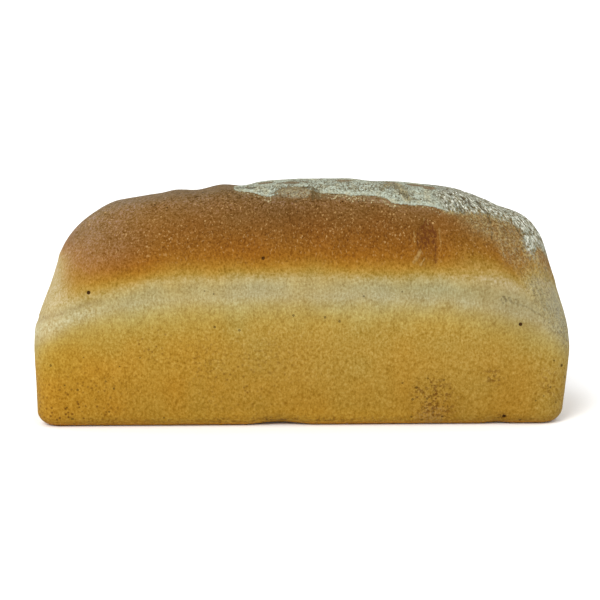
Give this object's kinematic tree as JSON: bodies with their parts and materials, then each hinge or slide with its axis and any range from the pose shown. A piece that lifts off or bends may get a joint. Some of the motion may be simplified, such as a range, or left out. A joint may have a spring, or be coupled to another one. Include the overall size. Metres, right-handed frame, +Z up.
{
  "type": "tin loaf",
  "caption": "White bread loaf baked in an open tin: straight sides and flat base below, a pale torn band, and a browned domed top dusted with flour.",
  "frame": {"origin": "middle of the flat base that lay on the floor of the tin", "axes": "+X along the loaf towards the end with flour on its shoulder, +Y towards the back, +Z up; the side shown first faces -Y"},
  "size_m": [0.2892, 0.1114, 0.1295],
  "materials": {
    "crust": "matte"
  },
  "bodies": {
    "root": {"loaf": "crust"}
  },
  "joints": []
}
